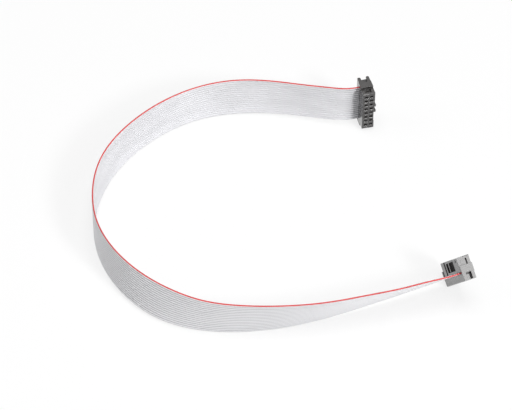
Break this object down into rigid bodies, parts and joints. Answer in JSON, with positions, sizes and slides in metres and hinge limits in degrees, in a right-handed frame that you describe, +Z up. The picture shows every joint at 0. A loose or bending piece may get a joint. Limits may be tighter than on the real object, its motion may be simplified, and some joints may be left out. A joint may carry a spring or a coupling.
{
  "type": "ribbon cable",
  "caption": "Flat grey ribbon cable with a red edge conductor, bent in an open loop on its edge, with a black pin header socket pressed on at each end.",
  "frame": {"origin": "middle of the whole part's footprint, on the surface that it stands on", "axes": "+Z up, across the ribbon, which stands on its edge; +X towards the two sockets and the loop's open side; +Y from socket B's side of the loop to socket A's"},
  "size_m": [0.1723, 0.1442, 0.0251],
  "materials": {
    "ribbon_pvc": "satin",
    "socket_plastic": "satin",
    "contact_metal": "plated, bright"
  },
  "bodies": {
    "root": {"ribbon": "ribbon_pvc", "socket_a_body": "socket_plastic", "socket_a_cover": "socket_plastic", "socket_b_body": "socket_plastic", "socket_b_cover": "socket_plastic", "socket_a_contact_1": "contact_metal", "socket_a_contact_2": "contact_metal", "socket_a_contact_3": "contact_metal", "socket_a_contact_4": "contact_metal", "socket_a_contact_5": "contact_metal", "socket_a_contact_6": "contact_metal", "socket_a_contact_7": "contact_metal", "socket_a_contact_8": "contact_metal", "socket_a_contact_9": "contact_metal", "socket_a_contact_10": "contact_metal", "socket_a_contact_11": "contact_metal", "socket_a_contact_12": "contact_metal", "socket_a_contact_13": "contact_metal", "socket_a_contact_14": "contact_metal", "socket_a_contact_15": "contact_metal", "socket_a_contact_16": "contact_metal", "socket_b_contact_1": "contact_metal", "socket_b_contact_2": "contact_metal", "socket_b_contact_3": "contact_metal", "socket_b_contact_4": "contact_metal", "socket_b_contact_5": "contact_metal", "socket_b_contact_6": "contact_metal", "socket_b_contact_7": "contact_metal", "socket_b_contact_8": "contact_metal", "socket_b_contact_9": "contact_metal", "socket_b_contact_10": "contact_metal", "socket_b_contact_11": "contact_metal", "socket_b_contact_12": "contact_metal", "socket_b_contact_13": "contact_metal", "socket_b_contact_14": "contact_metal", "socket_b_contact_15": "contact_metal", "socket_b_contact_16": "contact_metal"}
  },
  "joints": []
}
